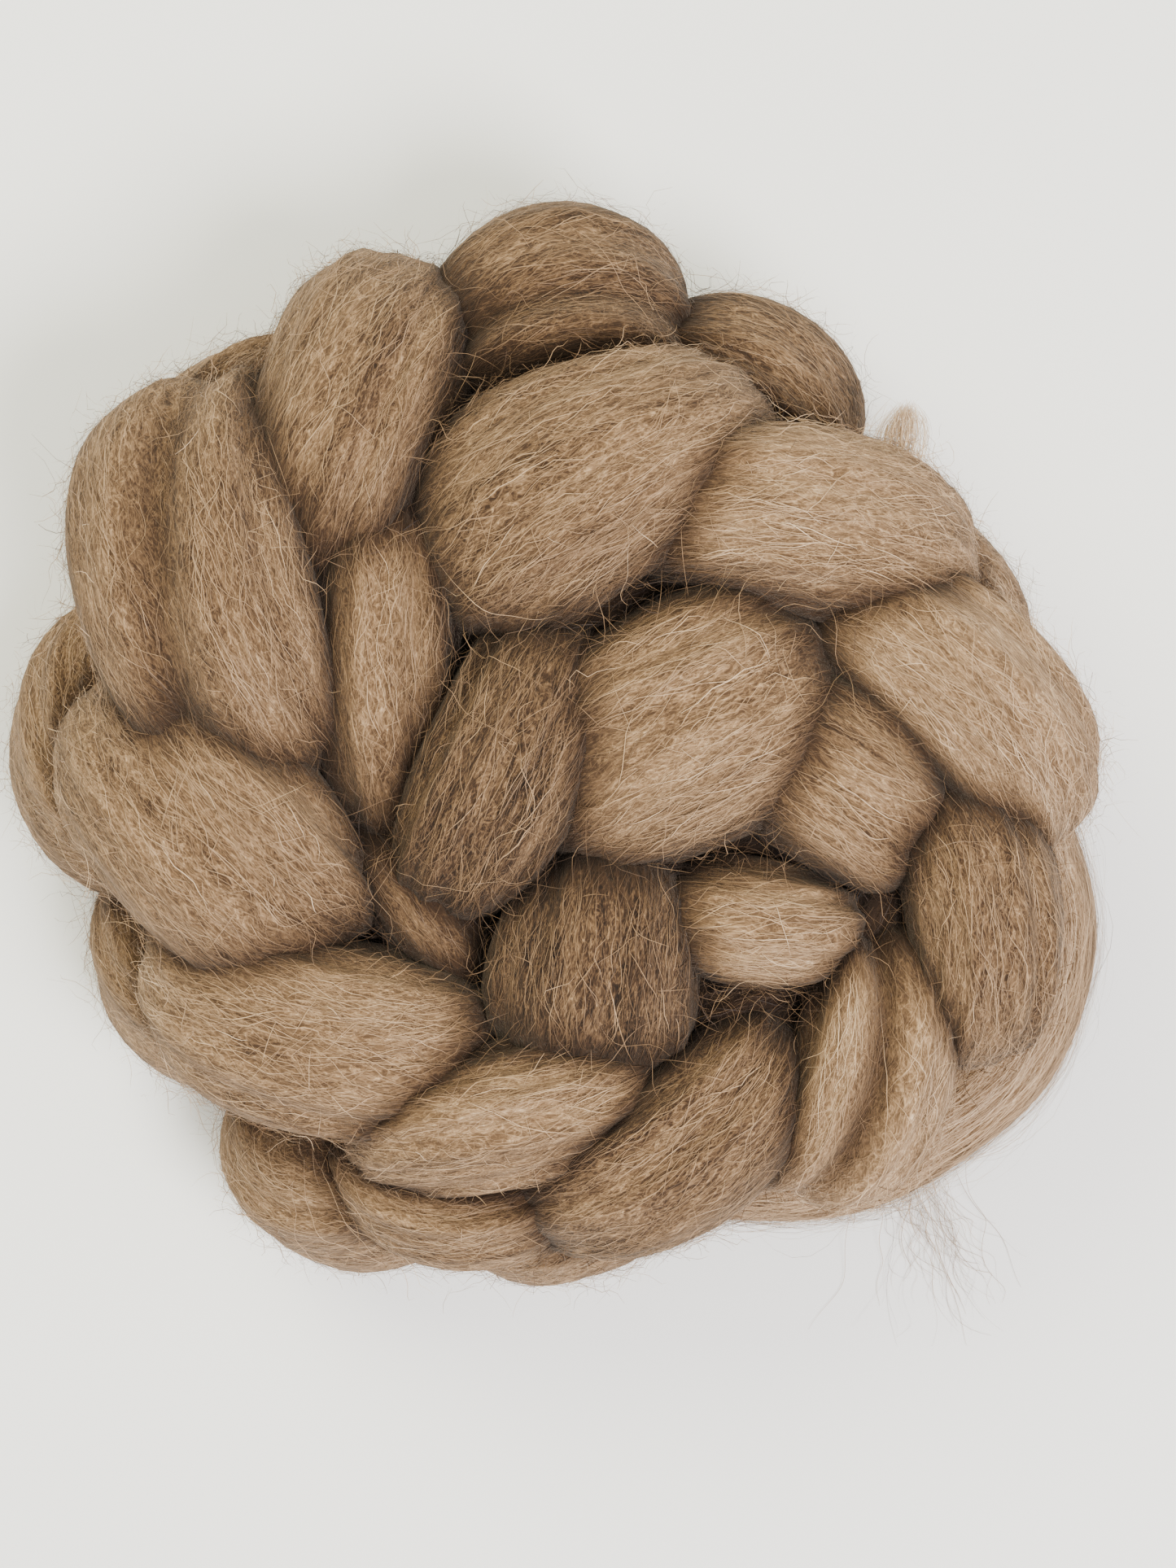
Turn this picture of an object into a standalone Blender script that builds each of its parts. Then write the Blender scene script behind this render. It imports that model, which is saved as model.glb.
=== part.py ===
"""A length of combed wool top, looped into a chain and coiled into a round bundle, with its loose end.

The bundle lies on its back: +Z is its face, X and Y run across it, and the origin is under its middle,
on the floor. Each loop of the chain shows as a plump lobe, arched along its fibres, whose two ends dive
between its neighbours. The wool is one piece, so the lobes are fused into one solid.
"""
import math

import bmesh
import bpy
import numpy as np
from mathutils import Matrix, Vector

MM = 0.001

# The tables' places are measured from the middle of the coil's turns. The origin is under the middle of
# its outline, which lies here from there.
OUTLINE_MIDDLE = Vector((-1.47, 0.40, 0.0))

# How a lobe is formed: it bends over by ARCH at each end, as a strand does that dives between two others.
ARCH = math.radians(104)
END_REACH = 0.5         # how far back from a lobe's tip, in half depths, the end of its bend lies
BEND_DROP = 1.1         # height of the bend, in half depths
END_BLUNT = 2.4         # a high power keeps the lobe full up to its ends
END_ROUND = 0.62        # and a low one rounds them
BOXY = 0.86             # 1 is an oval section, less is a boxier one
CREASE_HALF_WIDTH = 0.20
RINGS = 22
SIDES = 24

# The lobes of the bundle's face, in mm and degrees. x, y and z are the middle of the lobe; length runs
# along the fibres, width across them, and depth through the wool. heading is the fibres' direction in
# plan, pitch their climb, lean how far the lobe tips outwards from the face, bow its sideways curve and
# taper its gain in width towards the heading. A crease runs along the fibres, crease mm deep: it is
# crease_at half widths from the middle, and crease_drift more towards the heading.
FACE_LOBES = """
name              x    y  z length width depth heading pitch lean bow taper crease_at crease_drift crease
left_large      -58   28 49     69    41    34     -77     0   16  -5 -0.06     -0.10        -0.40    5.0
upper_left    -32.5 53.6 43     60    34    34      74     0   18  -3  0.20         0            0      0
upper_fold      -31   33 42     32    20    26      50     0    4   0     0         0            0      0
top               0   73 35     42    37    30      11     0   35   3     0     -0.34            0    3.5
top_right        33   61 27     38    30    28     -28     0   40   3     0         0            0      0
upper_front       6 44.5 51     61    38    34      28     0    8   4 -0.26         0            0      0
front_fold        2   23 46     35    13    20       8     0    0   0     0         0            0      0
right_top        41   37 48     63    30    30      -8    -5   20   3  0.08         0            0      0
right            69    8 44     57    31    30     -42     0   24   3  0.04      0.52         0.10    2.4
right_low        70  -28 43     48    25    28      96     0   18  -2  0.05         0            0      0
low_right        52  -54 41     48    26    26      76     0   20  -5 -0.06      0.22         0.20    4.5
bottom           19  -66 42     54    28    28      33     0   22  -3     0         0            0      0
bottom_left      -8  -59 46     54    22    26      15     0   14   3     0         0            0      0
bottom_fold     -17  -75 36     41    17    24       2     0   40  -3     0         0            0      0
low_left        -41  -46 44     59    31    30     -14     0   20  -3  0.05         0            0      0
left            -57  -11 46     60    38    32     -45     0   18   3  0.06      0.30        -0.10    1.5
inner_upright -27.5   17 46     68    26    26     -90     0    0  -3 -0.10      0.35            0    1.2
inner_left      -22  -23 39     40    18    22     -54     0    0   0     0         0            0      0
inner_dip       -10  -39 31     26    18    20     -60     0    0   0     0         0            0      0
heart_left       -7   -2 50     54    28    32      65     0    0  -2  0.08         0            0      0
heart            20    4 49     55    42    34      24     0    0   4  0.14         0            0      0
heart_right      46   -4 46     37    31    28     -36     0    0   2     0         0            0      0
heart_low         7  -34 46     40    33    30     -99     0    0   0  0.26         0            0      0
heart_under      32  -28 46     33    21    24      -8     0    0  -2     0         0            0      0
heart_nip        30  -15 38     25    14    18     -10     0    0   0     0         0            0      0
heart_tie        10  -19 43     30    11    18      12     0    0   0     0         0            0      0
low_nip          30  -43 34     28    16    20      20     0    0   0     0         0            0      0
right_nip        53  -25 34     26    16    20      70     0    0   0     0         0            0      0
"""

# The chain's other column of loops, which makes the bundle's rim and back. bearing is the place round
# the bundle and reach how far out the lobe comes. They slant the other way to the face's lobes.
RIM_LOBES = """
name       bearing reach length width depth  z pitch
rim_1          179    92     54    31    28 20    34
rim_2          212    88     46    30    28 19    34
rim_3          243    96     44    30    28 19    34
rim_4          270    90     46    30    28 19    34
rim_5          297    76     46    28    28 19    34
rim_6          326    66     46    28    28 19    34
rim_7          352    72     46    28    28 19    34
rim_8           20    83     46    29    28 19    34
rim_9           51    73     46    29    28 19    34
rim_10          75    72     46    29    28 19    34
rim_11         104    75     46    30    28 19    34
rim_12         136    90     44    31    28 20    34
"""
RIM_LEAN = 74

# The wool's middle, below the lobes.
CORE_RADIUS = 60 * MM
CORE_TOP = 36 * MM
CORE_BOTTOM = -5 * MM

# Fusing the lobes: the grain of the union, its smoothing, and the number of faces that is kept.
GRAIN = 1.5 * MM
SMOOTH_PASSES = 3
KEPT_TRIANGLES = 9400

# The loose end lies on the floor round the rim's lower right. Each row is a place round the bundle.
END_DIAMETER = 22 * MM
END_ROUTE = """
bearing radius
     15     65
      5     70
     -7     78
    -20     89
    -33     93
    -45     90
    -55     86
    -66     78
    -78     69
"""
END_POINTS = 13
END_SIDES_LEVEL = 3
END_FLAT = 0.35 * MM     # how far its lowest flat lies inside its round
END_CLEARANCE = 0.6 * MM

WOOL = ("wool", (0.285, 0.185, 0.110, 1.0), 0.9)
WOOL_END = ("wool_end", (0.330, 0.220, 0.135, 1.0), 0.9)


def clear_scene():
    for thing in list(bpy.data.objects):
        bpy.data.objects.remove(thing, do_unlink=True)


def table(text):
    """Rows of a table as dictionaries, with the first line naming the columns."""
    heads, *lines = [line.split() for line in text.strip().splitlines()]
    rows = []
    for cells in lines:
        row = dict(zip(heads, cells))
        rows.append({head: row[head] if head == "name" else float(row[head]) for head in heads})
    return rows


def material(name, colour, roughness):
    made = bpy.data.materials.new(name)
    made.use_nodes = True
    made.diffuse_color = colour
    shader = made.node_tree.nodes["Principled BSDF"]
    shader.inputs["Base Color"].default_value = colour
    shader.inputs["Roughness"].default_value = roughness
    shader.inputs["Metallic"].default_value = 0.0
    return made


def rim_row(row):
    """A rim lobe's place and bearing, as a row of the face's table."""
    bearing = math.radians(row["bearing"])
    middle = row["reach"] - row["depth"] / 2
    return {
        "name": row["name"],
        "x": middle * math.cos(bearing),
        "y": middle * math.sin(bearing),
        "z": row["z"],
        "length": row["length"],
        "width": row["width"],
        "depth": row["depth"],
        "heading": row["bearing"] + 90,
        "pitch": row["pitch"],
        "lean": RIM_LEAN,
        "bow": 0,
        "taper": 0,
        "crease_at": 0,
        "crease_drift": 0,
        "crease": 0,
    }


def lobe_axes(row):
    """The lobe's directions: along its fibres, across them, and out of its crown."""
    outward = math.atan2(row["y"], row["x"])
    lean = math.radians(row["lean"])
    heading = math.radians(row["heading"])
    pitch = math.radians(row["pitch"])
    crown = Vector((math.cos(outward) * math.sin(lean), math.sin(outward) * math.sin(lean), math.cos(lean)))
    along = Vector((math.cos(heading) * math.cos(pitch), math.sin(heading) * math.cos(pitch), math.sin(pitch)))
    along = (along - crown * along.dot(crown)).normalized()
    return along, crown.cross(along), crown


def lobe_point(row, axes, s, turn):
    """The point at s, from -1 to 1 along the lobe, and at an angle round its section."""
    half_width = row["width"] / 2
    half_depth = row["depth"] / 2
    bend = max(row["length"] / 2 - half_depth * END_REACH, 2.0)
    drop = half_depth * BEND_DROP
    angle = ARCH * s
    run_x, run_z = bend * math.cos(angle), -drop * math.sin(angle)
    speed = math.hypot(run_x, run_z)
    full = (1 - abs(s) ** END_BLUNT) ** END_ROUND
    side = math.copysign(abs(math.cos(turn)) ** BOXY, math.cos(turn))
    rise = math.copysign(abs(math.sin(turn)) ** BOXY, math.sin(turn))
    out = half_depth * full * rise
    if row["crease"] and rise > 0:
        offset = (math.cos(turn) - row["crease_at"] - row["crease_drift"] * s) / CREASE_HALF_WIDTH
        out -= row["crease"] * (1 - s * s) * math.exp(-offset * offset)
    along, across, crown = axes
    local_x = bend * math.sin(angle) - run_z / speed * out
    local_z = drop * (math.cos(angle) - 1) + run_x / speed * out
    local_y = half_width * full * (1 + row["taper"] * s) * side - row["bow"] * (1 - math.cos(angle))
    middle = Vector((row["x"], row["y"], row["z"])) - OUTLINE_MIDDLE
    return (middle + along * local_x + across * local_y + crown * local_z) * MM


def add_lobe(mesh, row):
    """One closed lobe, as rings from one tip to the other."""
    axes = lobe_axes(row)
    tip = [mesh.verts.new(lobe_point(row, axes, s, 0.0)) for s in (-1.0, 1.0)]
    rings = []
    for ring in range(1, RINGS):
        s = math.sin(math.pi * (ring / RINGS - 0.5))
        turns = [2 * math.pi * side / SIDES for side in range(SIDES)]
        rings.append([mesh.verts.new(lobe_point(row, axes, s, turn)) for turn in turns])
    for side in range(SIDES):
        after = (side + 1) % SIDES
        mesh.faces.new((tip[0], rings[0][after], rings[0][side]))
        mesh.faces.new((tip[1], rings[-1][side], rings[-1][after]))
        for near, far in zip(rings, rings[1:]):
            mesh.faces.new((near[side], near[after], far[after], far[side]))


def add_core(mesh):
    """A low round body that fills the bundle's middle."""
    rise = (CORE_TOP - CORE_BOTTOM) / 2
    middle = Vector((0, 0, CORE_BOTTOM + rise)) - OUTLINE_MIDDLE * MM
    flatten = Matrix.Translation(middle) @ Matrix.Diagonal((1, 1, rise / CORE_RADIUS, 1))
    bmesh.ops.create_uvsphere(mesh, u_segments=48, v_segments=24, radius=CORE_RADIUS, matrix=flatten)


def evaluated_copy(thing):
    """The object's mesh with its modifiers applied."""
    graph = bpy.context.evaluated_depsgraph_get()
    return bpy.data.meshes.new_from_object(thing.evaluated_get(graph), depsgraph=graph)


def outer_shell(mesh):
    """Drops whatever isn't joined to the shell that reaches furthest out."""
    work = bmesh.new()
    work.from_mesh(mesh)
    unseen = set(work.verts)
    shells = []
    while unseen:
        front = [unseen.pop()]
        shell = list(front)
        while front:
            here = front.pop()
            for edge in here.link_edges:
                other = edge.other_vert(here)
                if other in unseen:
                    unseen.remove(other)
                    front.append(other)
                    shell.append(other)
        shells.append(shell)
    shells.sort(key=len)
    for shell in shells[:-1]:
        bmesh.ops.delete(work, geom=shell, context="VERTS")
    work.to_mesh(mesh)
    work.free()


def end_route():
    """A smooth curve through the loose end's places, at its own height over the floor."""
    rows = table(END_ROUTE)
    bearing = np.radians([row["bearing"] for row in rows])
    radius = np.array([row["radius"] for row in rows]) * MM
    knots = np.stack([radius * np.cos(bearing), radius * np.sin(bearing)], axis=1)
    knots -= np.array(OUTLINE_MIDDLE.xy) * MM
    spans = len(knots) - 1
    padded = np.vstack([2 * knots[0] - knots[1], knots, 2 * knots[-1] - knots[-2]])
    height = END_DIAMETER / 2 - END_FLAT
    route = []
    for share in np.linspace(0, spans, END_POINTS):
        span = min(int(share), spans - 1)
        t = share - span
        before, start, stop, after = padded[span:span + 4]
        x, y = 0.5 * (2 * start + (stop - before) * t + (2 * before - 5 * start + 4 * stop - after) * t ** 2
                      + (3 * start - before - 3 * stop + after) * t ** 3)
        route.append((float(x), float(y), height))
    return route


def tube(name, radius):
    """The loose end's route as a tube with filled ends."""
    curve = bpy.data.curves.new(name, "CURVE")
    curve.dimensions = "3D"
    curve.bevel_depth = radius
    curve.bevel_resolution = END_SIDES_LEVEL
    curve.use_fill_caps = True
    spline = curve.splines.new("POLY")
    route = end_route()
    spline.points.add(len(route) - 1)
    for point, place in zip(spline.points, route):
        point.co = (*place, 1.0)
    thing = bpy.data.objects.new(name, curve)
    bpy.context.collection.objects.link(thing)
    return thing


def hidden_cutter(thing):
    thing.hide_render = True
    thing.display_type = "WIRE"
    return thing


def end_cutter():
    """The loose end's tube, a little fatter, as a mesh."""
    curve = tube("end_cutter_route", END_DIAMETER / 2 + END_CLEARANCE)
    mesh = evaluated_copy(curve)
    bpy.data.objects.remove(curve, do_unlink=True)
    thing = bpy.data.objects.new("end_cutter", mesh)
    bpy.context.collection.objects.link(thing)
    return hidden_cutter(thing)


def floor_cutter():
    """Everything below the floor, which takes the bundle's flat rest."""
    size, depth = 0.4, 0.1
    mesh = bpy.data.meshes.new("floor_cutter")
    work = bmesh.new()
    bmesh.ops.create_cube(work, size=1, matrix=Matrix.Translation((0, 0, -depth / 2))
                          @ Matrix.Diagonal((size, size, depth, 1)))
    work.to_mesh(mesh)
    work.free()
    thing = bpy.data.objects.new("floor_cutter", mesh)
    bpy.context.collection.objects.link(thing)
    return hidden_cutter(thing)


def cut(thing, cutter):
    step = thing.modifiers.new(cutter.name, "BOOLEAN")
    step.operation = "DIFFERENCE"
    step.object = cutter


def wool_coil():
    """The bundle: its lobes and core fused, thinned, and cut flat where it rests."""
    rows = table(FACE_LOBES) + [rim_row(row) for row in table(RIM_LOBES)]
    work = bmesh.new()
    for row in rows:
        add_lobe(work, row)
    add_core(work)
    bmesh.ops.recalc_face_normals(work, faces=work.faces)
    mesh = bpy.data.meshes.new("wool_coil")
    work.to_mesh(mesh)
    work.free()
    thing = bpy.data.objects.new("wool_coil", mesh)
    bpy.context.collection.objects.link(thing)

    fuse = thing.modifiers.new("fuse", "REMESH")
    fuse.mode = "VOXEL"
    fuse.voxel_size = GRAIN
    smooth = thing.modifiers.new("smooth", "SMOOTH")
    smooth.iterations = SMOOTH_PASSES
    fused = evaluated_copy(thing)
    thing.modifiers.clear()
    thing.data = fused
    outer_shell(fused)

    fused.calc_loop_triangles()
    thin = thing.modifiers.new("thin", "DECIMATE")
    thin.ratio = KEPT_TRIANGLES / len(fused.loop_triangles)
    thin.use_collapse_triangulate = True
    cut(thing, floor_cutter())
    cut(thing, end_cutter())
    fused.materials.clear()
    fused.materials.append(material(*WOOL))
    return thing


def loose_end():
    thing = tube("loose_end", END_DIAMETER / 2)
    thing.data.materials.append(material(*WOOL_END))
    return thing


def main():
    clear_scene()
    wool_coil()
    loose_end()


main()
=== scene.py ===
"""The look of a coiled bundle of combed wool: streaked lobes, and the fibres that lie on and between them."""

import math

import bpy
import numpy as np
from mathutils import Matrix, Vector
from mathutils.bvhtree import BVHTree


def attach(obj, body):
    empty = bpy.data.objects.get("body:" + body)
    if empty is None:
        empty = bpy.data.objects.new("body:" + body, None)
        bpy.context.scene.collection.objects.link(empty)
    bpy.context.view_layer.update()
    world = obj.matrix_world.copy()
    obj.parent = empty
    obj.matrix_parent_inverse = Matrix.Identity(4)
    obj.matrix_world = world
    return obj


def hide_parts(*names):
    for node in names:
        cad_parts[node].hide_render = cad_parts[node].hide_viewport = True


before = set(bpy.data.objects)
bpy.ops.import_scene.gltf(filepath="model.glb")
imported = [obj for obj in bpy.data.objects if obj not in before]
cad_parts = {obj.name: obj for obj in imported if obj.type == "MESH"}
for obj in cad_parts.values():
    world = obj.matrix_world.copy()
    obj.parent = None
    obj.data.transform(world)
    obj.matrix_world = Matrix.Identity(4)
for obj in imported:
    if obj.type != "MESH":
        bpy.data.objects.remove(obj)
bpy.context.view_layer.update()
rng = np.random.default_rng(41)

MM = 0.001

# How a lobe is formed: it bends over by ARCH at each end, as a strand does that dives between two others.
ARCH = math.radians(104)
END_REACH = 0.5         # half depths from the bend's end to the lobe's
BEND_DROP = 1.1         # half depths that the bend goes down
SHORTEST_BEND = 2.0     # mm
END_BLUNT = 2.4         # two exponents that round a lobe's ends
END_ROUND = 0.62
BOXY = 0.86             # under 1, it makes a lobe's section fuller at its corners
CREASE_HALF_WIDTH = 0.20

# The lobes of the bundle's face, in mm and degrees. x, y and z are the middle of the lobe; length runs
# along the fibres, width across them, and depth through the wool. heading is the fibres' direction in
# plan, pitch their climb, lean how far the lobe tips outwards from the face, bow its sideways curve and
# taper its gain in width towards the heading. A crease runs along the fibres, crease mm deep: it is
# crease_at half widths from the middle, and crease_drift more towards the heading. tone is how light
# the lobe's wool is.
FACE_LOBES = """
name              x    y  z length width depth heading pitch lean bow taper crease_at crease_drift crease tone
left_large      -58   28 49     69    41    34     -77     0   16  -5 -0.06     -0.10        -0.40    5.0 -0.6
upper_left    -32.5 53.6 43     60    34    34      74     0   18  -3  0.20         0            0      0 -0.9
upper_fold      -31   33 42     32    20    26      50     0    4   0     0         0            0      0 -0.8
top               0   73 35     42    37    30      11     0   35   3     0     -0.34            0    3.5 -1.8
top_right        33   61 27     38    30    28     -28     0   40   3     0         0            0      0 -1.5
upper_front       6 44.5 51     61    38    34      28     0    8   4 -0.26         0            0      0 -0.3
front_fold        2   23 46     35    13    20       8     0    0   0     0         0            0      0 -0.2
right_top        41   37 48     63    30    30      -8    -5   20   3  0.08         0            0      0  1.1
right            69    8 44     57    31    30     -42     0   24   3  0.04      0.52         0.10    2.4  1.5
right_low        70  -28 43     48    25    28      96     0   18  -2  0.05         0            0      0 -1.2
low_right        52  -54 41     48    26    26      76     0   20  -5 -0.06      0.22         0.20    4.5  2.0
bottom           19  -66 42     54    28    28      33     0   22  -3     0         0            0      0 -1.3
bottom_left      -8  -59 46     54    22    26      15     0   14   3     0         0            0      0  0.3
bottom_fold     -17  -75 36     41    17    24       2     0   40  -3     0         0            0      0  0.0
low_left        -41  -46 44     59    31    30     -14     0   20  -3  0.05         0            0      0  0.4
left            -57  -11 46     60    38    32     -45     0   18   3  0.06      0.30        -0.10    1.5 -0.2
inner_upright -27.5   17 46     68    26    26     -90     0    0  -3 -0.10      0.35            0    1.2 -0.1
inner_left      -22  -23 39     40    18    22     -54     0    0   0     0         0            0      0 -0.5
inner_dip       -10  -39 31     26    18    20     -60     0    0   0     0         0            0      0 -1.5
heart_left       -7   -2 50     54    28    32      65     0    0  -2  0.08         0            0      0 -2.4
heart            20    4 49     55    42    34      24     0    0   4  0.14         0            0      0  0.4
heart_right      46   -4 46     37    31    28     -36     0    0   2     0         0            0      0  0.3
heart_low         7  -34 46     40    33    30     -99     0    0   0  0.26         0            0      0 -2.7
heart_under      32  -28 46     33    21    24      -8     0    0  -2     0         0            0      0  1.1
heart_nip        30  -15 38     25    14    18     -10     0    0   0     0         0            0      0 -0.6
heart_tie        10  -19 43     30    11    18      12     0    0   0     0         0            0      0 -0.4
low_nip          30  -43 34     28    16    20      20     0    0   0     0         0            0      0 -0.8
right_nip        53  -25 34     26    16    20      70     0    0   0     0         0            0      0 -0.6
"""

# The chain's other column of loops, which makes the bundle's rim and back. bearing is the place round
# the bundle and reach how far out the lobe comes. They slant the other way to the face's lobes.
RIM_LOBES = """
name       bearing reach length width depth  z pitch tone
rim_1          179    92     54    31    28 20    34  0.0
rim_2          212    88     46    30    28 19    34  0.1
rim_3          243    96     44    30    28 19    34  0.3
rim_4          270    90     46    30    28 19    34  0.2
rim_5          297    76     46    28    28 19    34  0.0
rim_6          326    66     46    28    28 19    34  0.0
rim_7          352    72     46    28    28 19    34  0.0
rim_8           20    83     46    29    28 19    34  0.0
rim_9           51    73     46    29    28 19    34 -0.2
rim_10          75    72     46    29    28 19    34 -0.3
rim_11         104    75     46    30    28 19    34 -0.3
rim_12         136    90     44    31    28 20    34 -0.5
"""
RIM_LEAN = 74           # degrees
OUTLINE_MIDDLE = np.array([-1.47, 0.40, 0.0])      # of the bundle's outline, in the tables

# The core below the lobes, in mm.
CORE_RADIUS = 60.0
CORE_TOP = 36.0
CORE_BOTTOM = -5.0
CORE_ROWS = 30
CORE_COLUMNS = 64
CORE_TONE = -0.5
FLOOR_GAP = 0.2         # mm between the wool and what it rests on

# The loose end, in mm and degrees, on the floor round the rim's lower right.
END_DIAMETER = 22.0
END_FLAT = 0.35         # how far its round would reach below the floor
END_CLEARANCE = 0.6     # between it and the coil
END_INSET = 1.8         # room for its fibres between its body and its full round
END_ROOTS_INSET = 1.9
END_NARROWING = 0.35    # how much thinner its tip is
END_NARROW_FROM = 0.86  # the share of its length from where it narrows, and over how much of it
END_NARROW_RUN = 0.14
END_STEPS = 60
END_SIDES = 40
END_ROUTE = """
bearing radius
     15     65
      5     70
     -7     78
    -20     89
    -33     93
    -45     90
    -55     86
    -66     78
    -78     69
"""

# The mesh of a lobe, and the ridges that its bundles of fibres raise: waves round it, and how high.
LOBE_STEPS = 37
LOBE_SIDES = 56
LOBE_PIECES = 3
LOBE_TIP = 0.004        # how far from its two tips a lobe's mesh ends, as a share of its length
LOBE_SEED = 500
RIDGE_WAVES = (4, 5, 7, 9, 11, 14, 17)
RIDGE_HEIGHT = 0.22
RIDGE_VARIATION = (0.5, 1.3)
RIDGE_TWIST = 1.6
MOST_TWIST = 0.35       # radians, how far a lobe's fibres turn round it over half its length
SWELL_HEIGHTS = (0.45, 0.3)

# The shade between the lobes, from rays over each point: how many, from how high and how far, in mm.
SKY_RAYS = 14
SKY_START = 0.5
SKY_REACH = 20.0
NEAR_WOOL_SHARE = 0.6   # how open a ray counts that ends on wool at its full reach
MOST_CROSSINGS = 30     # faces that a ray is followed through
SHADE_SPREAD = 4        # how many times a lobe's openness is softened
CREASE_SHADE = 0.055    # how much each mm of a crease's depth takes from its openness

# Fibres: how many of each kind, their points, and lengths and widths in mm.
LYING_FIBRES = 44000
LYING_POINTS = 7
LYING_MIDDLE = LYING_POINTS // 2
LYING_PIECES = 4
LYING_TRIES = 2.3       # fibres tried for each one kept, as many are hidden
LYING_LENGTH = (3, 10)
CRIMP_HEIGHT = (0.08, 0.40)
CRIMP_LENGTH = (3.0, 7.0)
CROSSING_SHARE = 0.25   # fibres that cross the others steeply
HIGH_SHARE = 0.08       # fibres that arch over the others
LOWEST_SHOWN = 1.0      # mm over the floor, below which no fibre is kept
FLY_FIBRES = 15500
FLY_POINTS = 7
FLY_LENGTH = (3, 11)
FLY_REACH = 4.0
FLY_WIDTH = 0.075
BRIDGE_FIBRES = 1800
BRIDGE_POINTS = 7
BRIDGE_TRIES = 60
BRIDGE_SPAN = (4, 13)
BRIDGE_FACING = 0.65    # how alike the wool at its two ends may face, as a cosine
BRIDGE_RISE = 0.2       # how much that wool has to face upwards
STRAY_FIBRES = 120
STRAY_POINTS = 26
STRAY_TRIES = 12
STRAY_LENGTH = (12, 34)
STRAY_WIDTH = 0.085
TUFT_FIBRES = 420
TUFT_POINTS = 7
END_FIBRES = 3500
END_FIBRE_POINTS = 8
END_TONE = 2.6          # the loose end is the lightest wool
FIBRE_WIDTH = 0.09
FIBRE_TONE = 0.64       # the middle of the lying fibres' tones
FLY_TONE = 0.70
TONE_SPREAD = 0.11
PHASES = 6.28           # radians, the range of a wave's start

# A pale tuft that stands out behind the lobe at the right top: its foot and its tip, in mm.
TUFT_FOOT = (56.0, 44.5, 44.0)
TUFT_TIP = (57.5, 56.0, 44.0)
TUFT_SPREAD = (2.4, 0.8, 1.4)
# Where thin wisps leave the bundle at the lower right, and how far they trail.
WISP_ROOT = (62.0, -71.5, 5.0)
WISP_SPREAD = (3.5, 2.0, 1.2)
WISP_HEADING = -74
WISP_REACH = 34.0
WISP_FURTHEST = -104.0
WISPS = 80

UP = np.array([0.0, 0.0, 1.0])
FULL_TURN = 2 * math.pi


def table(text):
    """Rows of a table as dictionaries, with the first line naming the columns."""
    heads, *lines = [line.split() for line in text.strip().splitlines()]
    rows = []
    for cells in lines:
        row = dict(zip(heads, cells))
        rows.append({head: row[head] if head == "name" else float(row[head]) for head in heads})
    return rows


def rim_row(row):
    """A rim lobe's place and bearing, as a row of the face's table."""
    bearing = math.radians(row["bearing"])
    middle = row["reach"] - row["depth"] / 2
    full = {"bow": 0, "taper": 0, "crease_at": 0, "crease_drift": 0, "crease": 0, "lean": RIM_LEAN}
    full.update(row)
    full["x"] = middle * math.cos(bearing)
    full["y"] = middle * math.sin(bearing)
    full["heading"] = row["bearing"] + 90
    return full


def unit(vectors):
    """Vectors scaled to length 1."""
    return vectors / np.maximum(np.linalg.norm(vectors, axis=-1, keepdims=True), 1e-9)


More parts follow.
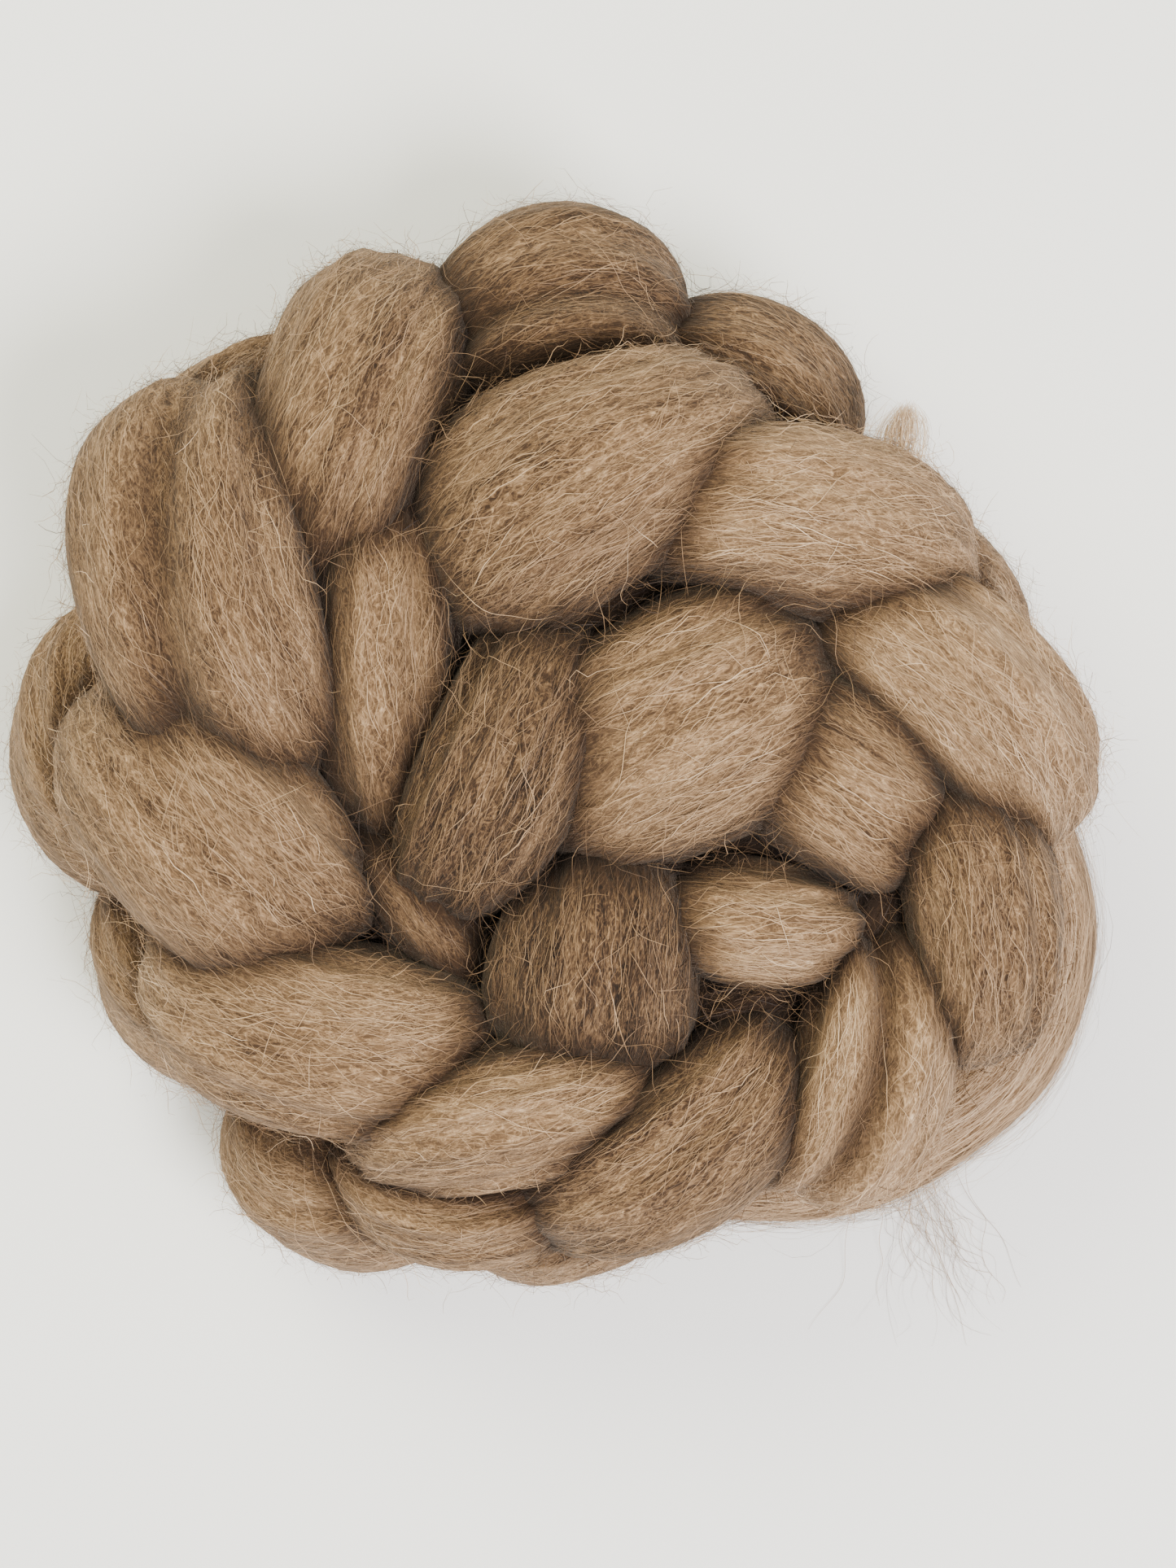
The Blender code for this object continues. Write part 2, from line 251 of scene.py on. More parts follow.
class Lobe:
    """One lobe's form, with the ridges that its fibres raise."""

    def __init__(self, row, index):
        self.row = row
        self.index = index
        own = np.random.default_rng(LOBE_SEED + index)
        outward = math.atan2(row["y"], row["x"])
        lean = math.radians(row["lean"])
        heading = math.radians(row["heading"])
        pitch = math.radians(row["pitch"])
        crown = np.array([math.cos(outward) * math.sin(lean), math.sin(outward) * math.sin(lean),
                          math.cos(lean)])
        along = np.array([math.cos(heading) * math.cos(pitch), math.sin(heading) * math.cos(pitch),
                          math.sin(pitch)])
        self.crown = crown
        self.along = unit(along - crown * (along @ crown))
        self.across = np.cross(crown, self.along)
        self.middle = np.array([row["x"], row["y"], row["z"]]) - OUTLINE_MIDDLE
        self.half_width = row["width"] / 2
        self.half_depth = row["depth"] / 2
        self.bend = max(row["length"] / 2 - self.half_depth * END_REACH, SHORTEST_BEND)
        self.drop = self.half_depth * BEND_DROP
        self.run = (self.bend + self.drop) / 2 * ARCH
        self.girth = math.pi * (self.half_width + self.half_depth)
        self.phases = own.uniform(0, FULL_TURN, len(RIDGE_WAVES))
        self.twists = own.uniform(-RIDGE_TWIST, RIDGE_TWIST, len(RIDGE_WAVES))
        self.heights = RIDGE_HEIGHT * own.uniform(*RIDGE_VARIATION, len(RIDGE_WAVES))
        self.swell_phase = own.uniform(0, FULL_TURN, 3)
        self.twist = own.uniform(-MOST_TWIST, MOST_TWIST)

    def relief(self, s, turn):
        """The height of the fibre bundles' ridges over the plain lobe, in mm."""
        high = 0.0
        for waves, phase, twist, height in zip(RIDGE_WAVES, self.phases, self.twists, self.heights):
            high = high + height * np.cos(waves * turn + phase + twist * s * 2)
        a, b, c = self.swell_phase
        wide, narrow = SWELL_HEIGHTS
        return high + wide * np.cos(2.1 * s + a + 2 * turn) + narrow * np.cos(4.3 * s + b - turn + c)

    def crease_offset(self, s, turn):
        """How far each place lies from the crease's middle, in the crease's half widths."""
        row = self.row
        return (np.cos(turn) - row["crease_at"] - row["crease_drift"] * s) / CREASE_HALF_WIDTH

    def surface(self, s, turn, lift=0.0):
        """The wool's points at s, from -1 to 1 along it, and turn round it, raised by lift mm."""
        row = self.row
        angle = ARCH * s
        run_x = self.bend * np.cos(angle)
        run_z = -self.drop * np.sin(angle)
        speed = np.hypot(run_x, run_z)
        full = np.maximum(1 - np.abs(s) ** END_BLUNT, 0.0) ** END_ROUND
        side = np.sign(np.cos(turn)) * np.abs(np.cos(turn)) ** BOXY
        rise = np.sign(np.sin(turn)) * np.abs(np.sin(turn)) ** BOXY
        proud = self.relief(s, turn) * np.sqrt(full)
        if row["crease"]:
            offset = self.crease_offset(s, turn)
            proud = proud - row["crease"] * (1 - s * s) * np.exp(-offset * offset) * (np.sin(turn) > 0)
        out = self.half_depth * full * rise + (proud + lift) * rise
        wide = self.half_width * full * (1 + row["taper"] * s) * side + (proud + lift) * side
        local_x = self.bend * np.sin(angle) - run_z / speed * out
        local_z = self.drop * (np.cos(angle) - 1) + run_x / speed * out
        local_y = wide - row["bow"] * (1 - np.cos(angle))
        return (self.middle + local_x[..., None] * self.along + local_y[..., None] * self.across
                + local_z[..., None] * self.crown)

    def normal(self, s, turn):
        """Which way the wool faces at a place, outwards."""
        step = 0.01
        ds = self.surface(s + step, turn) - self.surface(s - step, turn)
        dt = self.surface(s, turn + step) - self.surface(s, turn - step)
        return unit(np.cross(dt, ds))

    def grain(self, s, turn):
        """Where a point lies in the combed wool, in mm: along the fibres, and two ways across them."""
        away = 211.0 * (self.index + 1)     # so that no two lobes share a pattern
        round_ = turn - self.twist * s
        return np.stack([self.run * s + away, self.half_width * np.cos(round_),
                         self.half_depth * np.sin(round_)], axis=-1)


LOBE_ROWS = table(FACE_LOBES) + [rim_row(row) for row in table(RIM_LOBES)]
LOBES = [Lobe(row, index) for index, row in enumerate(LOBE_ROWS)]


def end_route(points):
    """A smooth curve through the loose end's places, at its own height over the floor, in mm."""
    rows = table(END_ROUTE)
    bearing = np.radians([row["bearing"] for row in rows])
    radius = np.array([row["radius"] for row in rows])
    knots = np.stack([radius * np.cos(bearing), radius * np.sin(bearing)], axis=1) - OUTLINE_MIDDLE[:2]
    spans = len(knots) - 1
    padded = np.vstack([2 * knots[0] - knots[1], knots, 2 * knots[-1] - knots[-2]])
    route = []
    for share in np.linspace(0, spans, points):
        span = min(int(share), spans - 1)
        t = share - span
        before, start, stop, after = padded[span:span + 4]
        place = 0.5 * (2 * start + (stop - before) * t + (2 * before - 5 * start + 4 * stop - after) * t ** 2
                       + (3 * start - before - 3 * stop + after) * t ** 3)
        route.append((*place, END_DIAMETER / 2 - END_FLAT))
    return np.array(route)


def clear_of_end(points):
    """Points in mm, with those inside the loose end's round pushed out of it."""
    line_points, coarse, near_enough = 90, 8, 40.0
    flat = points.reshape(-1, 3).copy()
    line = end_route(line_points)
    beside = np.abs(flat[:, None, 0] - line[None, ::coarse, 0])
    beside = beside + np.abs(flat[:, None, 1] - line[None, ::coarse, 1])
    near = np.where(np.min(beside, axis=1) < near_enough)[0]
    away = flat[near, None, :] - line[None, :, :]
    far = np.linalg.norm(away, axis=2)
    nearest = far.argmin(axis=1)
    room = END_DIAMETER / 2 + END_CLEARANCE
    picked = np.arange(len(near))
    short = far[picked, nearest]
    inside = short < room
    push = unit(away[picked, nearest])[inside]
    flat[near[inside]] = line[nearest[inside]] + push * room
    return flat.reshape(points.shape)


def over_floor(points):
    """Points in mm, with those below the floor raised to just over it."""
    lifted = points.copy()
    lifted[..., 2] = np.maximum(lifted[..., 2], FLOOR_GAP)
    return lifted


def new_mesh(name, points, quads):
    """A smooth object from points in mm and four-cornered faces."""
    mesh = bpy.data.meshes.new(name)
    mesh.vertices.add(len(points))
    mesh.vertices.foreach_set("co", (points * MM).astype(np.float32).ravel())
    mesh.loops.add(quads.size)
    mesh.loops.foreach_set("vertex_index", quads.astype(np.int32).ravel())
    mesh.polygons.add(len(quads))
    mesh.polygons.foreach_set("loop_start", np.arange(0, quads.size, 4, dtype=np.int32))
    mesh.polygons.foreach_set("use_smooth", np.full(len(quads), True))
    mesh.update(calc_edges=True)
    thing = bpy.data.objects.new(name, mesh)
    bpy.context.scene.collection.objects.link(thing)
    return thing


def set_attribute(thing, name, kind, values):
    """A value for each of a mesh's points, for its material to read."""
    layer = thing.data.attributes.new(name, kind, "POINT")
    field = "vector" if kind == "FLOAT_VECTOR" else "value"
    layer.data.foreach_set(field, values.astype(np.float32).ravel())


def sky_directions(count):
    """Directions spread over the upper half of a ball, denser towards the top."""
    turns = np.arange(count) * math.pi * (3 - math.sqrt(5))
    height = np.sqrt((np.arange(count) + 0.5) / count)
    flat = np.sqrt(1 - height ** 2)
    return np.stack([flat * np.cos(turns), flat * np.sin(turns), height], axis=1)


def bodies_round(origin, direction):
    """How many lobes a place lies inside, from the faces that a ray out of it crosses."""
    inside = 0
    past_face = 0.01
    for _ in range(MOST_CROSSINGS):
        hit, face_normal, _, _ = WOOL_TREE.ray_cast(origin, direction)
        if hit is None:
            break
        inside += 1 if face_normal.dot(direction) > 0 else -1
        origin = hit + direction * past_face
    return inside


def openness(points, normals):
    """How much of the space over each point is free of wool, from 0 to 1, and 0 inside another lobe."""
    slanting = (0.31, 0.77, 0.55)
    sky = sky_directions(SKY_RAYS)
    tangent = unit(np.cross(normals, slanting))
    other = np.cross(normals, tangent)
    shares = np.zeros(len(points))
    for i in range(len(points)):
        origin = Vector(points[i] + normals[i] * SKY_START)
        if bodies_round(origin, Vector(normals[i])) > 0:
            continue
        free = 0.0
        for a, b, c in sky:
            direction = Vector(tangent[i] * a + other[i] * b + normals[i] * c)
            hit, _, _, far = WOOL_TREE.ray_cast(origin, direction, SKY_REACH)
            free += 1.0 if hit is None else far / SKY_REACH * NEAR_WOOL_SHARE
        shares[i] = free / SKY_RAYS
    return shares


def shown(points, normals):
    """Which points in mm lie outside the other lobes and above the floor."""
    step_out = 0.4
    keep = np.zeros(len(points), bool)
    for i, point in enumerate(points):
        direction = Vector(normals[i])
        start = Vector(point) + direction * step_out
        keep[i] = point[2] >= LOWEST_SHOWN and bodies_round(start, direction) <= 0
    return keep


def grid_quads(rows, columns):
    """Faces of a grid of points, whose columns meet round a closed form."""
    r, c = np.meshgrid(np.arange(rows - 1), np.arange(columns), indexing="ij")
    after = (c + 1) % columns
    return np.stack([r * columns + c, r * columns + after, (r + 1) * columns + after, (r + 1) * columns + c],
                    axis=-1).reshape(-1, 4)


def body_grid():
    """The places along and round a lobe of its body's points."""
    s = np.sin(np.pi * (np.linspace(LOBE_TIP, 1 - LOBE_TIP, LOBE_STEPS) - 0.5))
    turn = np.linspace(0, FULL_TURN, LOBE_SIDES, endpoint=False)
    return np.meshgrid(s, turn, indexing="ij")


def lobe_body(lobe):
    """A lobe's points, faces, grain and normals, all but closed at its tips."""
    s, turn = body_grid()
    points = lobe.surface(s, turn).reshape(-1, 3)
    normals = lobe.normal(s, turn).reshape(-1, 3)
    grain = lobe.grain(s, turn).reshape(-1, 3)
    quads = grid_quads(LOBE_STEPS, LOBE_SIDES)
    return points, quads, grain, normals


def softened(grid):
    """A lobe's values with each one spread over its neighbours."""
    for _ in range(SHADE_SPREAD):
        ends = np.vstack([grid[:1], grid, grid[-1:]])
        grid = (2 * grid + ends[:-2] + ends[2:] + np.roll(grid, 1, axis=1)
                + np.roll(grid, -1, axis=1)) / 6
    return grid


def crease_shade(lobe):
    """How much light a lobe's crease leaves at each point of its body, as a grid."""
    s, turn = body_grid()
    offset = lobe.crease_offset(s, turn)
    lost = CREASE_SHADE * lobe.row["crease"] * (1 - s * s) * np.exp(-offset * offset / 2)
    return 1 - lost * (np.sin(turn) > 0)


def lobe_openness(index):
    """How open each point of a lobe's body is, softened and darkened along its crease, as a grid: the painted
    shade of the lobe and its fibres.
    """
    points, _, _, normals = BODIES[index]
    shares = openness(points, normals).reshape(LOBE_STEPS, LOBE_SIDES)
    return softened(shares) * crease_shade(LOBES[index])


def openness_at(index, s, turn):
    """The lobe's openness read off its grid at any s and turn."""
    place = (np.arcsin(np.clip(s, -1, 1)) / np.pi + 0.5 - LOBE_TIP) / (1 - 2 * LOBE_TIP)
    place = np.clip(place, 0, 1) * (LOBE_STEPS - 1)
    around = np.mod(turn / FULL_TURN, 1.0) * LOBE_SIDES
    row = np.minimum(place.astype(int), LOBE_STEPS - 2)
    column = around.astype(int) % LOBE_SIDES
    after = (column + 1) % LOBE_SIDES
    down, over = place - row, around - around.astype(int)
    grid = PAINTED_SHADE_GRIDS[index]
    near = grid[row, column] * (1 - over) + grid[row, after] * over
    far = grid[row + 1, column] * (1 - over) + grid[row + 1, after] * over
    return near * (1 - down) + far * down


BODIES = [lobe_body(lobe) for lobe in LOBES]


def wool_tree():
    """All the lobes' bodies, to look up what lies over a point."""
    points, quads, count = [], [], 0
    for body_points, body_quads, _, _ in BODIES:
        points.append(body_points)
        quads.append(body_quads + count)
        count += len(body_points)
    return BVHTree.FromPolygons(np.concatenate(points).tolist(), np.concatenate(quads).tolist())


WOOL_TREE = wool_tree()
PAINTED_SHADE_GRIDS = [lobe_openness(index) for index in range(len(LOBES))]


def colour_ramp(tree, stops):
    """A colour ramp from pairs of a place and a colour."""
    ramp = tree.nodes.new("ShaderNodeValToRGB")
    points = ramp.color_ramp.elements
    while len(points) < len(stops):
        points.new(0.5)
    for point, (at, colour) in zip(points, stops):
        point.position = at
        point.color = (*colour, 1.0)
    return ramp


# Wool's colours, from the painted shade deep in a crevice to the lightest fibre.
WOOL_STOPS = (
    (0.0, (0.006, 0.003, 0.0015)),
    (0.20, (0.040, 0.020, 0.009)),
    (0.42, (0.142, 0.081, 0.038)),
    (0.62, (0.275, 0.169, 0.087)),
    (0.80, (0.425, 0.282, 0.160)),
    (1.0, (0.620, 0.455, 0.290)),
)
# How light wool is drawn at a given openness, as painted shade, and how much a lobe's tone adds.
SHADE_GAIN = 1.21
SHADE_FLOOR = 0.005
SHADE_POWER = 1.5
TONE_STEP = 0.07


def node(tree, kind, **values):
    """A new node with its settings."""
    made = tree.nodes.new(kind)
    for key, value in values.items():
        setattr(made, key, value)
    return made


def maths(tree, operation, first, second):
    """A Math node on two values, each a socket or a number."""
    made = node(tree, "ShaderNodeMath", operation=operation)
    for socket, value in zip(made.inputs, (first, second)):
        if isinstance(value, (int, float)):
            socket.default_value = value
        else:
            tree.links.new(value, socket)
    return made.outputs[0]


def vector_maths(tree, operation, first, second):
    """A Vector Math node on a socket, and on a socket or three numbers."""
    made = node(tree, "ShaderNodeVectorMath", operation=operation)
    tree.links.new(first, made.inputs[0])
    if isinstance(second, tuple):
        made.inputs[1].default_value = second
    else:
        tree.links.new(second, made.inputs[1])
    return made.outputs[0]


def streaks(tree, vector, scale, stretch, detail, output="Fac"):
    """Noise drawn out along the fibres. The scale is in marks per mm across them."""
    mapping = node(tree, "ShaderNodeMapping")
    mapping.inputs["Scale"].default_value = (scale / stretch, scale, scale)
    tree.links.new(vector, mapping.inputs["Vector"])
    noise = node(tree, "ShaderNodeTexNoise")
    noise.inputs["Scale"].default_value = 1.0
    noise.inputs["Detail"].default_value = detail
    noise.inputs["Roughness"].default_value = 0.6
    tree.links.new(mapping.outputs[0], noise.inputs["Vector"])
    return noise.outputs[output]


def crimped(tree, grain, scale, height):
    """The grain with its fibres bent from side to side, height mm at most."""
    bends = streaks(tree, grain, scale, 1.0, 1.0, "Color")
    bends = vector_maths(tree, "SUBTRACT", bends, (0.5, 0.5, 0.5))
    bends = vector_maths(tree, "MULTIPLY", bends, (height, height, height))
    return vector_maths(tree, "ADD", grain, bends)


def hairs(tree, grain, degrees, scale, stretch, thinness):
    """Thin lines, 0 to 1, along fibres turned by an angle: the middle values of drawn-out noise."""
    mapping = node(tree, "ShaderNodeMapping", vector_type="TEXTURE")
    turn = math.radians(degrees)
    mapping.inputs["Rotation"].default_value = (0.0, turn * 0.7, turn)
    mapping.inputs["Scale"].default_value = (stretch / scale, 1 / scale, 1 / scale)
    tree.links.new(grain, mapping.inputs["Vector"])
    noise = node(tree, "ShaderNodeTexNoise")
    noise.inputs["Scale"].default_value = 1.0
    noise.inputs["Detail"].default_value = 1.5
    noise.inputs["Roughness"].default_value = 0.5
    tree.links.new(mapping.outputs[0], noise.inputs["Vector"])
    away = maths(tree, "ABSOLUTE", maths(tree, "SUBTRACT", noise.outputs["Fac"], 0.5), 0.0)
    line = maths(tree, "SUBTRACT", 1.0, maths(tree, "MULTIPLY", away, thinness))
    return maths(tree, "MAXIMUM", line, 0.0)


def weighted(tree, parts, offset):
    """The sum of sockets times their weights, and an offset."""
    total = None
    for socket, weight in parts:
        term = maths(tree, "MULTIPLY", socket, weight)
        total = term if total is None else maths(tree, "ADD", total, term)
    return maths(tree, "ADD", total, offset)


def wool_material():
    """Combed wool seen as a mass: fine crimped streaks along the fibres, with painted shade in the crevices
    and creases.
    """
    made = bpy.data.materials.new("combed_wool")
    made.use_nodes = True
    tree = made.node_tree
    shader = tree.nodes["Principled BSDF"]
    grain = node(tree, "ShaderNodeAttribute", attribute_name="grain").outputs["Vector"]
    open_share = node(tree, "ShaderNodeAttribute", attribute_name="open").outputs["Fac"]
    tone = node(tree, "ShaderNodeAttribute", attribute_name="tone").outputs["Fac"]
    wide = streaks(tree, grain, 0.14, 3, 2)
    middle = streaks(tree, crimped(tree, grain, 0.25, 2.4), 0.7, 5, 3)
    bent = crimped(tree, grain, 0.28, 3.2)
    curly = crimped(tree, grain, 0.55, 2.0)
    lines = [hairs(tree, bent, 4, 1.3, 9, 13), hairs(tree, bent, -17, 1.9, 8, 13),
             hairs(tree, curly, 21, 1.9, 8, 13), hairs(tree, curly, -40, 2.2, 7, 17)]
    light = weighted(tree, ((wide, 0.45), (middle, 0.45), (lines[0], 0.17), (lines[1], 0.17),
                            (lines[2], 0.17), (lines[3], 0.12), (tone, TONE_STEP)), -0.17)
    # Painted shade: the colour is darkened where other lobes close over the wool, and along the creases.
    shade = maths(tree, "MULTIPLY", maths(tree, "POWER", open_share, SHADE_POWER), SHADE_GAIN)
    shade = maths(tree, "MINIMUM", maths(tree, "ADD", shade, SHADE_FLOOR), 1.0)
    light = maths(tree, "MULTIPLY", light, shade)
    ramp = colour_ramp(tree, WOOL_STOPS)
    tree.links.new(light, ramp.inputs["Fac"])
    tree.links.new(ramp.outputs["Color"], shader.inputs["Base Color"])
    height = weighted(tree, ((middle, 0.6), (lines[0], 0.3), (lines[1], 0.25), (lines[2], 0.25)), 0.0)
    bump = node(tree, "ShaderNodeBump")
    bump.inputs["Strength"].default_value = 0.7
    bump.inputs["Distance"].default_value = 0.5 * MM
    tree.links.new(height, bump.inputs["Height"])
    tree.links.new(bump.outputs["Normal"], shader.inputs["Normal"])
    shader.inputs["Roughness"].default_value = 0.9
    shader.inputs["Specular IOR Level"].default_value = 0.2
    shader.inputs["Sheen Weight"].default_value = 0.12
    shader.inputs["Sheen Roughness"].default_value = 0.5
    shader.inputs["Sheen Tint"].default_value = (0.95, 0.78, 0.60, 1.0)
    return made


def fibre_material():
    """One fibre's colour with its painted shade, by its place across the OFBake map, from dark at the left to
    light at the right.
    """
    made = bpy.data.materials.new("wool_fibre")
    made.use_nodes = True
    tree = made.node_tree
    shader = tree.nodes["Principled BSDF"]
    where = node(tree, "ShaderNodeUVMap", uv_map="OFBake").outputs["UV"]
    split = node(tree, "ShaderNodeSeparateXYZ")
    tree.links.new(where, split.inputs[0])
    ramp = colour_ramp(tree, WOOL_STOPS)
    tree.links.new(split.outputs["X"], ramp.inputs["Fac"])
    tree.links.new(ramp.outputs["Color"], shader.inputs["Base Color"])
    shader.inputs["Roughness"].default_value = 0.62
    shader.inputs["Specular IOR Level"].default_value = 0.3
    shader.inputs["Sheen Weight"].default_value = 0.05
    return made


WOOL = wool_material()
FIBRE = fibre_material()


def dress(thing, look):
    """A piece's look, node and material slot."""
    thing.data.materials.clear()
    thing.data.materials.append(look)
    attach(thing, "root")


def lobe_pieces():
    """The lobes as bodies, in a few pieces that together stand for the coil."""
    groups = np.array_split(np.arange(len(LOBES)), LOBE_PIECES)
    for number, group in enumerate(groups):
        points, quads, grain, tones = [], [], [], []
        count = 0
        for index in group:
            p, q, g, _ = BODIES[index]
            points.append(p)
            quads.append(q + count)
            grain.append(g)
            tones.append(np.full(len(p), LOBES[index].row["tone"]))
            count += len(p)
        share = np.concatenate([PAINTED_SHADE_GRIDS[index].ravel() for index in group])
        points = over_floor(clear_of_end(np.concatenate(points)))
        thing = new_mesh(f"wool_lobes_{number + 1}", points, np.concatenate(quads))
        set_attribute(thing, "grain", "FLOAT_VECTOR", np.concatenate(grain))
        # Painted shade: each point's openness, which darkens the lobes' colour.
        set_attribute(thing, "open", "FLOAT", share)
        set_attribute(thing, "tone", "FLOAT", np.concatenate(tones))
        dress(thing, WOOL)
        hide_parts("wool_coil")


def core_piece():
    """The wool's middle, painted in full shade so that it shows near black at the bottom of the crevices."""
    pole, grain_depth = 0.02, 30
    rise = (CORE_TOP - CORE_BOTTOM) / 2
    down = np.linspace(pole, math.pi - pole, CORE_ROWS)
    round_ = np.linspace(0, FULL_TURN, CORE_COLUMNS, endpoint=False)
    down, round_ = np.meshgrid(down, round_, indexing="ij")
    lumps = 1 + 0.02 * np.cos(7 * round_ + 3 * down) + 0.015 * np.cos(13 * round_ - 5 * down)
    points = np.stack([CORE_RADIUS * lumps * np.sin(down) * np.cos(round_),
                       CORE_RADIUS * lumps * np.sin(down) * np.sin(round_),
                       CORE_BOTTOM + rise + rise * np.cos(down)], axis=-1).reshape(-1, 3) - OUTLINE_MIDDLE
    grain = np.stack([CORE_RADIUS * round_, grain_depth * np.sin(down), grain_depth * np.cos(down)],
                     axis=-1).reshape(-1, 3)
    quads = grid_quads(CORE_ROWS, CORE_COLUMNS)[:, ::-1]
    thing = new_mesh("wool_core", over_floor(clear_of_end(points)), quads)
    set_attribute(thing, "grain", "FLOAT_VECTOR", grain)
    # Painted shade: no openness at all, so the core is drawn at its darkest.
    set_attribute(thing, "open", "FLOAT", np.zeros(len(points)))
    set_attribute(thing, "tone", "FLOAT", np.full(len(points), CORE_TONE))
    dress(thing, WOOL)
    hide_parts("wool_coil")


def ribbons(name, paths, sides, widths, tones, solid="wool_coil"):
    """Flat tapered strands as one object. Paths and sides are (strands, points, 3), tones 0 to 1."""
    count, steps, _ = paths.shape
    taper = np.sin(np.pi * np.linspace(0.08, 0.92, steps)) ** 0.7
    half = (widths[:, None] / 2 * taper[None, :])[..., None]
    points = np.stack([paths - sides * half, paths + sides * half], axis=2).reshape(-1, 3)
    first = (np.arange(count)[:, None] * steps + np.arange(steps - 1)[None, :]) * 2
    quads = np.stack([first, first + 1, first + 3, first + 2], axis=-1).reshape(-1, 4)
    thing = new_mesh(name, over_floor(points), quads)
    along = np.linspace(0.02, 0.98, steps)
    u = np.clip(tones, 0.01, 0.99)
    near = np.stack([u[:, :-1], np.broadcast_to(along[:-1], u[:, 1:].shape)], axis=-1)
    far = np.stack([u[:, 1:], np.broadcast_to(along[1:], u[:, 1:].shape)], axis=-1)
    aside = np.array([0.004, 0.0])
    corners = np.stack([near - aside, near + aside, far + aside, far - aside], axis=2)
    layer = thing.data.uv_layers.new(name="OFBake")
    layer.data.foreach_set("uv", corners.astype(np.float32).ravel())
    dress(thing, FIBRE)
    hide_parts(solid)
    return thing


def lying_paths():
    """Fibres that follow the lobes: their paths, the wool's normals and openness there, and its tone."""
    areas = np.array([lobe.run * lobe.girth for lobe in LOBES])
    tries = np.round(areas / areas.sum() * LYING_FIBRES * LYING_TRIES).astype(int)
    paths, normals, shares, tones = [], [], [], []
    along = np.linspace(0, 1, LYING_POINTS)
    for lobe, count in zip(LOBES, tries):
        length = rng.uniform(*LYING_LENGTH, count)
        steepness = np.where(rng.random(count) < CROSSING_SHARE, 0.7, 0.28)
        swerve = steepness * rng.normal(0, 1, count)
        start = rng.uniform(-1.0, 1.0, count) - length / lobe.run / 2
        s = start[:, None] + (length * np.cos(swerve) / lobe.run)[:, None] * along
        s = np.clip(s, -0.985, 0.985)
        radius = lobe.girth / FULL_TURN
        crimp_height = rng.uniform(*CRIMP_HEIGHT, (count, 1))
        crimps = (length / rng.uniform(*CRIMP_LENGTH, count))[:, None]
        crimp = crimp_height * np.sin(crimps * 2 * np.pi * along + rng.uniform(0, PHASES, (count, 1)))
        bow = rng.normal(0, 0.35, (count, 1)) * np.sin(np.pi * along)
        sideways = (length * np.sin(swerve))[:, None] * (along - 0.5) + crimp + bow
        turn = rng.uniform(0, FULL_TURN, count)[:, None] + lobe.twist * s + sideways / radius
        high = 0.1 + rng.exponential(0.42, count)
        high = np.where(rng.random(count) < HIGH_SHARE, high + rng.uniform(0.4, 1.5, count), high)
        wave = rng.normal(0, 0.10, (count, LYING_POINTS))
        lift = (-0.12 + (0.12 + high[:, None]) * np.sin(np.pi * along) ** 0.8
                + wave * (high[:, None] + 0.3))
        path = lobe.surface(s, turn, lift)
        normal = lobe.normal(s, turn)
        keep = shown(path[:, LYING_MIDDLE], normal[:, LYING_MIDDLE])
        paths.append(path[keep])
        normals.append(normal[keep])
        shares.append(openness_at(lobe.index, s[keep], turn[keep]))
        tones.append(np.full(keep.sum(), lobe.row["tone"]))
    paths = np.concatenate(paths)
    pick = rng.permutation(len(paths))[:LYING_FIBRES]
    return paths[pick], *(np.concatenate(values)[pick] for values in (normals, shares, tones))


def fibre_sides(paths, normals):
    """The way across each fibre, flat on the wool."""
    tangent = unit(np.gradient(paths, axis=1))
    return unit(np.cross(tangent, normals))


def fibre_tones(share, lobe_tone, middle):
    """Tones for fibres, spread about a middle one, with painted shade where other lobes close over their
    place.
    """
    lightness = middle + lobe_tone * TONE_STEP + rng.normal(0, TONE_SPREAD, share.shape[0])
    # Painted shade, as on the lobes' wool.
    return lightness[:, None] * np.minimum(SHADE_FLOOR + SHADE_GAIN * share ** SHADE_POWER, 1.0)


def lying_pieces():
    """The lying fibres, in pieces that each take a sector of the bundle."""
    paths, normals, share, lobe_tone = lying_paths()
    tones = fibre_tones(share, lobe_tone, FIBRE_TONE)
    widths = FIBRE_WIDTH * rng.uniform(0.6, 1.5, len(paths))
    paths = clear_of_end(paths)
    order = np.argsort(np.arctan2(paths[:, LYING_MIDDLE, 1], paths[:, LYING_MIDDLE, 0]))
    for number, part in enumerate(np.array_split(order, LYING_PIECES)):
        sides = fibre_sides(paths[part], normals[part])
        ribbons(f"wool_fibres_{number + 1}", paths[part], sides, widths[part], tones[part])
    return paths, normals, share, lobe_tone


def loose_hairs(name, paths, width, variation, tones):
    """Hairs as one piece, each turned any way round itself: a width in mm, and its variation."""
    tangent = unit(np.gradient(paths, axis=1))
    spin = unit(rng.normal(0, 1, (len(paths), 1, 3)))
    sides = unit(np.cross(tangent, np.broadcast_to(spin, paths.shape)))
    ribbons(name, paths, sides, width * rng.uniform(*variation, len(paths)), tones)


